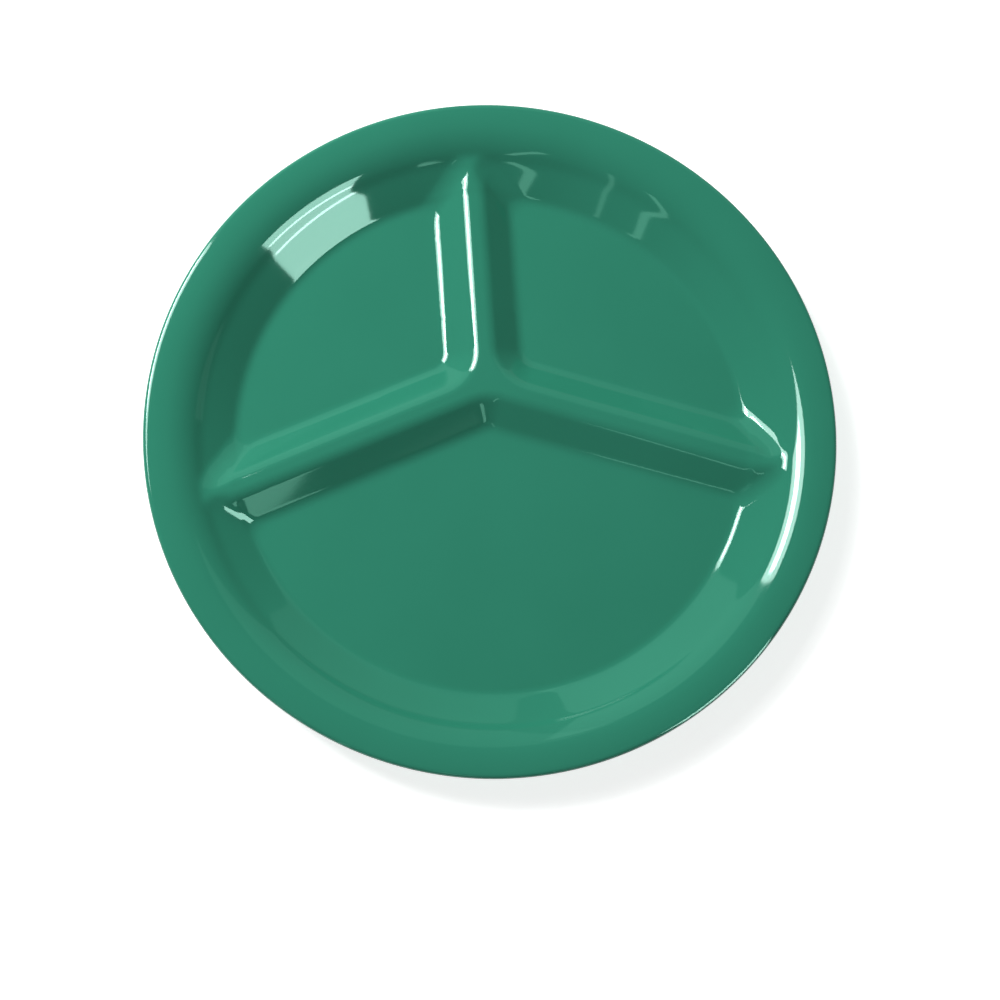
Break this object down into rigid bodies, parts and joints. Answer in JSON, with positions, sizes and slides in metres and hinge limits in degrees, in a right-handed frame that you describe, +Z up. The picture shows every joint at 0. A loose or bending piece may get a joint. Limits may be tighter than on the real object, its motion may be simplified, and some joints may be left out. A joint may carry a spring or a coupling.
{
  "type": "divided compartment plate",
  "caption": "Round shallow plate with rounded dividers that part its flat floor into separate compartments, inside a sloping wall and a flared rim.",
  "frame": {"origin": "on the plate's axis, in the plane of the foot ring's underside, which the plate stands on", "axes": "+Z up, out of the food side; +Y along the straight divider, from the large compartment towards the wall between the two small ones; +X to the right"},
  "size_m": [0.2604, 0.2604, 0.0191],
  "materials": {
    "melamine": "glossy compression-moulded melamine, plain green"
  },
  "bodies": {
    "root": {"plate": "melamine"}
  },
  "joints": []
}
